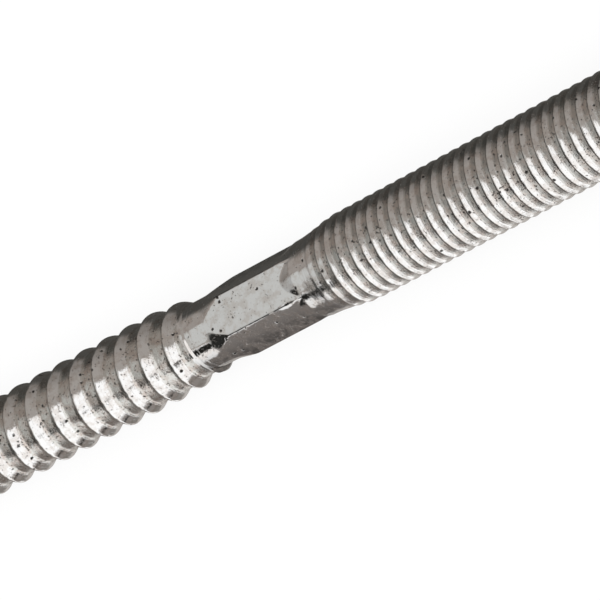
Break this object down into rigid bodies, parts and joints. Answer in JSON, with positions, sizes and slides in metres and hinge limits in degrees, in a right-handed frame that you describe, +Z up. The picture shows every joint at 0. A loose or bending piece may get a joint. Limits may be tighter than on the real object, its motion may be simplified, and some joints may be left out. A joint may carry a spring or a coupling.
{
  "type": "adjusting screw",
  "caption": "One-piece plated steel adjusting screw: coarse round left-hand thread, pressed spanner hexagon behind a short neck, and a finer left-hand metric thread.",
  "frame": {"origin": "under the middle of the length, on the surface the screw lies on", "axes": "+X along the screw, from the coarse tip towards the fine tip; +Z up, square to the upper spanner flat"},
  "size_m": [0.142, 0.0118, 0.0118],
  "materials": {
    "plated_steel": "bright zinc or nickel plating over rolled steel, with small pits and rubbed crests"
  },
  "bodies": {
    "root": {"adjusting_screw": "plated_steel"}
  },
  "joints": []
}
